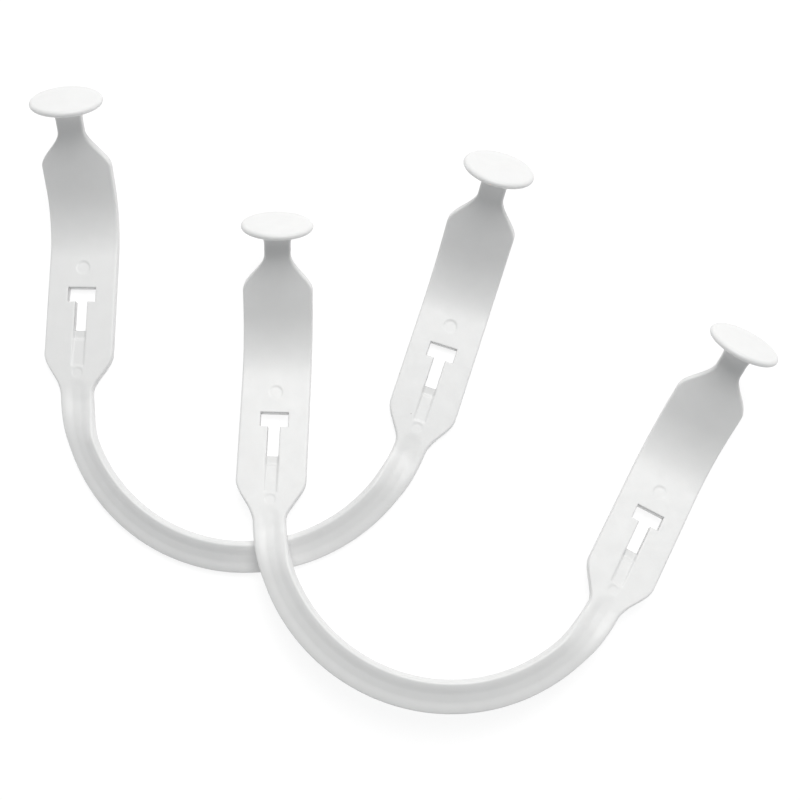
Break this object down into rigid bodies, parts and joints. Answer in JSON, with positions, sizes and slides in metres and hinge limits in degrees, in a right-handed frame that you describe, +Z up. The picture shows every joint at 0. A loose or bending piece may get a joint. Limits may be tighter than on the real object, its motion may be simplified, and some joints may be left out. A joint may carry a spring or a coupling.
{
  "type": "cheek retractor",
  "caption": "Pair of U-shaped dental cheek retractors: springy leaning bow with a channel, flat paddles with T-shaped slots, upturned hooks and round buttons.",
  "frame": {"origin": "centre of the pair's footprint, on the surface that it lies on", "axes": "+Z up, +Y along the arms from the bows to the buttons, +X to the right"},
  "size_m": [0.1628, 0.1374, 0.0281],
  "materials": {
    "white_plastic": "satin"
  },
  "bodies": {
    "lower_bow": {"lower_bow_middle": "white_plastic"},
    "lower_left_bow": {"lower_bow_left": "white_plastic"},
    "lower_left_neck": {"lower_neck_left": "white_plastic"},
    "lower_left_arm": {"lower_paddle_left": "white_plastic", "lower_hook_left": "white_plastic", "lower_button_left": "white_plastic"},
    "lower_right_bow": {"lower_bow_right": "white_plastic"},
    "lower_right_neck": {"lower_neck_right": "white_plastic"},
    "lower_right_arm": {"lower_paddle_right": "white_plastic", "lower_hook_right": "white_plastic", "lower_button_right": "white_plastic"},
    "upper_bow": {"upper_bow_middle": "white_plastic"},
    "upper_left_bow": {"upper_bow_left": "white_plastic"},
    "upper_left_neck": {"upper_neck_left": "white_plastic"},
    "upper_left_arm": {"upper_paddle_left": "white_plastic", "upper_hook_left": "white_plastic", "upper_button_left": "white_plastic"},
    "upper_right_bow": {"upper_bow_right": "white_plastic"},
    "upper_right_neck": {"upper_neck_right": "white_plastic"},
    "upper_right_arm": {"upper_paddle_right": "white_plastic", "upper_hook_right": "white_plastic", "upper_button_right": "white_plastic"}
  },
  "joints": [
    {"name": "lower_left_squeeze", "type": "hinge", "parent": "lower_bow", "child": "lower_left_bow", "pos_m": [-0.05716, -0.02821, 0.00278], "axis": [0, 0, -1], "range_deg": [-3, 4.5], "stiffness_Nm_per_rad": 0.6},
    {"name": "lower_left_squeeze_end", "type": "hinge", "parent": "lower_left_bow", "child": "lower_left_neck", "pos_m": [-0.06954, -0.01366, 0.00278], "axis": [0, 0, -1], "range_deg": [-2, 3]},
    {"name": "lower_left_flex", "type": "hinge", "parent": "lower_left_neck", "child": "lower_left_arm", "pos_m": [-0.0735, 0.00032, 0.0011], "axis": [0.9999, -0.0105, 0], "range_deg": [0, 12], "stiffness_Nm_per_rad": 0.3},
    {"name": "lower_right_squeeze", "type": "hinge", "parent": "lower_bow", "child": "lower_right_bow", "pos_m": [-0.02039, -0.03312, 0.00278], "axis": [0, 0, 1], "range_deg": [-3, 4.5], "stiffness_Nm_per_rad": 0.6},
    {"name": "lower_right_squeeze_end", "type": "hinge", "parent": "lower_right_bow", "child": "lower_right_neck", "pos_m": [-0.00463, -0.02232, 0.00278], "axis": [0, 0, 1], "range_deg": [-2, 3]},
    {"name": "lower_right_flex", "type": "hinge", "parent": "lower_right_neck", "child": "lower_right_arm", "pos_m": [0.00195, -0.0121, 0.0011], "axis": [0.9505, -0.3107, 0], "range_deg": [0, 12], "stiffness_Nm_per_rad": 0.3},
    {"name": "upper_left_squeeze", "type": "hinge", "parent": "upper_bow", "child": "upper_left_bow", "pos_m": [-0.01578, -0.05456, 0.0109], "axis": [-0.0359, -0.1377, -0.9898], "range_deg": [-3, 4.5], "stiffness_Nm_per_rad": 0.6},
    {"name": "upper_left_squeeze_end", "type": "hinge", "parent": "upper_left_bow", "child": "upper_left_neck", "pos_m": [-0.02634, -0.03874, 0.00901], "axis": [-0.0359, -0.1377, -0.9898], "range_deg": [-2, 3]},
    {"name": "upper_left_flex", "type": "hinge", "parent": "upper_left_neck", "child": "upper_left_arm", "pos_m": [-0.02854, -0.02903, 0.00612], "axis": [0.9992, -0.025, -0.0327], "range_deg": [0, 12], "stiffness_Nm_per_rad": 0.3},
    {"name": "upper_right_squeeze", "type": "hinge", "parent": "upper_bow", "child": "upper_right_bow", "pos_m": [0.02011, -0.06391, 0.0109], "axis": [0.0359, 0.1377, 0.9898], "range_deg": [-3, 4.5], "stiffness_Nm_per_rad": 0.6},
    {"name": "upper_right_squeeze_end", "type": "hinge", "parent": "upper_right_bow", "child": "upper_right_neck", "pos_m": [0.03704, -0.05525, 0.00898], "axis": [0.0359, 0.1377, 0.9898], "range_deg": [-2, 3]},
    {"name": "upper_right_flex", "type": "hinge", "parent": "upper_right_neck", "child": "upper_right_arm", "pos_m": [0.04355, -0.04808, 0.00616], "axis": [0.8811, -0.4718, 0.0337], "range_deg": [0, 12], "stiffness_Nm_per_rad": 0.3},
    {"name": "upper_lift", "type": "slide", "parent": "lower_bow", "child": "upper_bow", "axis": [0, 0, 1], "range_m": [0, 0.03]}
  ],
  "couplings": [
    {"joint": "lower_left_squeeze_end", "follows": "lower_left_squeeze", "ratio": 0.66},
    {"joint": "lower_right_squeeze_end", "follows": "lower_right_squeeze", "ratio": 0.66},
    {"joint": "upper_left_squeeze_end", "follows": "upper_left_squeeze", "ratio": 0.66},
    {"joint": "upper_right_squeeze_end", "follows": "upper_right_squeeze", "ratio": 0.66}
  ]
}
